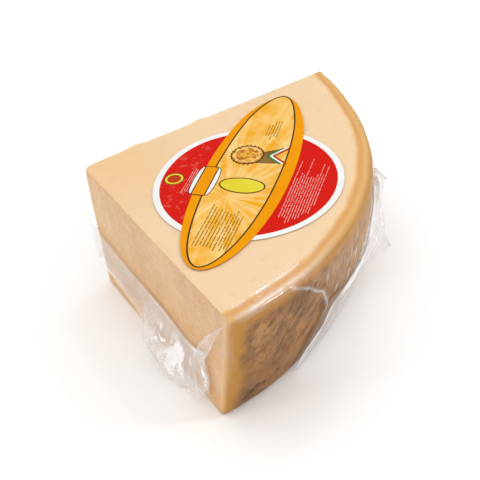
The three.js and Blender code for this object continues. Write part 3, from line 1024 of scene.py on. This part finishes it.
def build_round_label():
    red = {"slot": "red_label"}
    sheet = ellipse(ROUND_CENTRE, (ROUND_RADIUS, ROUND_RADIUS), 200)
    plate("round_label_sheet", sheet, 0.30, WHITE_PAPER, "round_label", thickness=0.2, rings=24, **red)
    ground = ellipse(ROUND_CENTRE, (RED_RADIUS, RED_RADIUS), 200)
    plate("round_label_red", ground, 0.36, RED_PAPER, thickness=0.08, rings=24, **red)
    rng = np.random.default_rng(5)
    right = print_lines((157, 66), 12, 1.9, (0, 22), (62, 92), rng)
    right = [bar for bar in right if max(np.hypot(*(end - ROUND_CENTRE)) for end in bar[:2]) < RED_RADIUS - 4]
    left = print_lines((77, 40), 4, 1.6, (0, 3), (24, 31), rng, 0.45)
    strokes("red_label_small_print", right + left, 0.42, PALE_INK, **red)
    ring = ellipse(SEAL_CENTRE, (7.2, 7.2), 48)
    plate("seal_ring", ring, 0.44, YELLOW_INK, **red)
    plate("seal_middle", ellipse(SEAL_CENTRE, (4.9, 4.9), 40), 0.50, SEAL_RED, **red)
    band("seal_edge", ring, 0.6, 0.50, DARK_INK, **red)


def build_oval_label():
    sheet, panel = ellipse(OVAL_CENTRE, OVAL_REACH, 240), ellipse(PANEL_CENTRE, PANEL_REACH, 240)
    plate("oval_label_sheet", sheet, 0.66, AMBER_PAPER, "oval_label", thickness=0.2, rings=16)
    plate("oval_panel", panel, 0.72, RAY_PAPER, thickness=0.08, rings=14)
    band("oval_panel_line", panel, 1.15, 0.78, DARK_INK)
    rng = np.random.default_rng(8)
    bars = print_lines((136.5, 16.1), 6, 2.5, (1, 6), (41, 49), rng, 0.55)
    bars += print_lines((152.6, 21.1), 5, 2.2, (5, 13), (43, 53), rng, 0.55)
    bars += print_lines((57, 123), 5, 2.1, (0, 6), (18, 27), rng)
    strokes("oval_small_print", bars, 0.80, BROWN_INK)


def build_tab():
    """Blank plate across the panel's line, where a name would be, between two white leaf shapes."""
    for name, side in (("left", 1), ("right", -1)):
        leaf = ellipse(TAB_CENTRE + DOWN_PAGE * 5.9 * side, (17.5, 3.3), 64)
        plate(f"tab_leaf_{name}", leaf, 0.84, WHITE_PAPER)
        band(f"tab_leaf_{name}_line", leaf, 0.6, 0.88, DARK_INK)
    shape = rectangle(TAB_CENTRE, 36, 10.8)
    plate("blank_tab", shape, 0.94, AMBER_PAPER, thickness=0.07, rings=9)
    band("blank_tab_line", shape, 0.8, 1.0, DARK_INK)


def build_medal():
    """Plain scalloped disc on a ribbon with a chevron of three stripes."""
    ribbon = np.array([(68.5, 108), (78.5, 100.5), (92.0, 115.5), (80.5, 117.5), (77.5, 129.0)])
    plate("medal_ribbon", ribbon, 0.84, BROWN_INK)
    start, bend, end = (np.array(p) for p in ((77.0, 129.0), (77.7, 113.8), (92.2, 115.0)))
    for k, (name, ink) in enumerate([("green", GREEN_INK), ("cream", WHITE_PAPER), ("red", SEAL_RED)]):
        away = np.array([0.66, 0.75]) * 2.1 * k
        stripe = [(start + away, bend + away, 1.7), (bend + away, end + away, 1.7)]
        strokes(f"ribbon_chevron_{name}", stripe, 0.92 + 0.04 * k, ink)
    a = np.linspace(0, 2 * math.pi, 192, endpoint=False)
    reach = 12.6 + 0.5 * np.cos(24 * a)
    scallops = np.array(MEDAL_CENTRE) + np.stack([reach * np.cos(a), reach * np.sin(a)], -1)
    plate("medal_scallops", scallops, 0.90, DARK_INK)
    plate("medal_disc", ellipse(MEDAL_CENTRE, (11.4, 11.4), 64), 0.96, GOLD_INK)
    band("medal_ring", ellipse(MEDAL_CENTRE, (9.6, 9.6), 64), 0.6, 1.0, CREAM_INK)


def build_emblem():
    """Plain yellow oval with a dark outline."""
    shape = ellipse(EMBLEM_CENTRE, (17.4, 9.2), 80, EMBLEM_TURN)
    plate("plain_emblem", shape, 0.86, YELLOW_INK, thickness=0.07, rings=5)
    band("plain_emblem_line", shape, 1.0, 0.92, DARK_INK)


build_round_label()
build_oval_label()
build_tab()
build_medal()
build_emblem()

# ---- stage, lights and camera
CAMERA_PLACE = (656.0, -211.1, 559.7)  # in the wheel's frame
CAMERA_TURNS = ((63.14, "Z"), (90 - 38.19, "X"), (-7.29, "Z"))  # azimuth, tilt up, roll
CAMERA_LENS, CAMERA_SENSOR = 80.4, 36
LIGHT_AIM = (90, 90, 50)  # the wedge's middle
# Square lamps: name, place in the wheel's frame, side in mm, power in watts
SOFTBOXES = (
    ("overhead_back", (-230, 560, 1300), 130, 0.6),
    ("rim_side", (800, 700, 950), 160, 2.3),
    ("front_side", (20, -1050, 560), 110, 1.1),
)
SKY_STRENGTH = (0.50, 1.17)  # from straight down or level to straight up
FLOOR_REACH = 6000


def add_camera():
    data = bpy.data.cameras.new("camera")
    data.lens = CAMERA_LENS
    data.sensor_width = CAMERA_SENSOR
    data.clip_start = 0.01
    camera = link(bpy.data.objects.new("camera", data))
    camera.matrix_world = Matrix.Translation(to_world(CAMERA_PLACE))
    for angle, axis in CAMERA_TURNS:
        camera.matrix_world @= Matrix.Rotation(math.radians(angle), 4, axis)
    bpy.context.scene.camera = camera


def add_softbox(name, place, size, power):
    data = bpy.data.lights.new(name, "AREA")
    data.size = size * MM
    data.energy = power
    lamp = link(bpy.data.objects.new(name, data))
    lamp.location = to_world(place)
    aim = Vector(to_world(LIGHT_AIM)) - lamp.location
    lamp.rotation_euler = aim.to_track_quat("-Z", "Y").to_euler()


def add_floor():
    corners = [(x * FLOOR_REACH, y * FLOOR_REACH, FLOOR_Z) for x, y in ((-1, -1), (1, -1), (1, 1), (-1, 1))]
    floor = add_object("floor", corners, [[0, 1, 2, 3]], bend=False)
    n = Nodes("pale floor")
    floor.data.materials.append(n.finish(n.add(
        "BsdfPrincipled", Base_Color=grey(0.98), Roughness=0.9, Specular_IOR_Level=0.1,
        Emission_Color=grey(1.0), Emission_Strength=0.03,
    )))


def add_studio():
    n = Nodes("studio", bpy.data.worlds.new("studio"), "OutputWorld")
    up = n.add("SeparateXYZ", Vector=n.add("TexCoord").outputs["Generated"]).outputs["Z"]
    sky = n.add("Background", Color=grey(1.0), Strength=n.range(up, 0.0, 1.0, *SKY_STRENGTH))
    bpy.context.scene.world = n.finish(sky)
    for softbox in SOFTBOXES:
        add_softbox(*softbox)
    bpy.context.scene.view_settings.view_transform = "Standard"


add_camera()
add_floor()
add_studio()
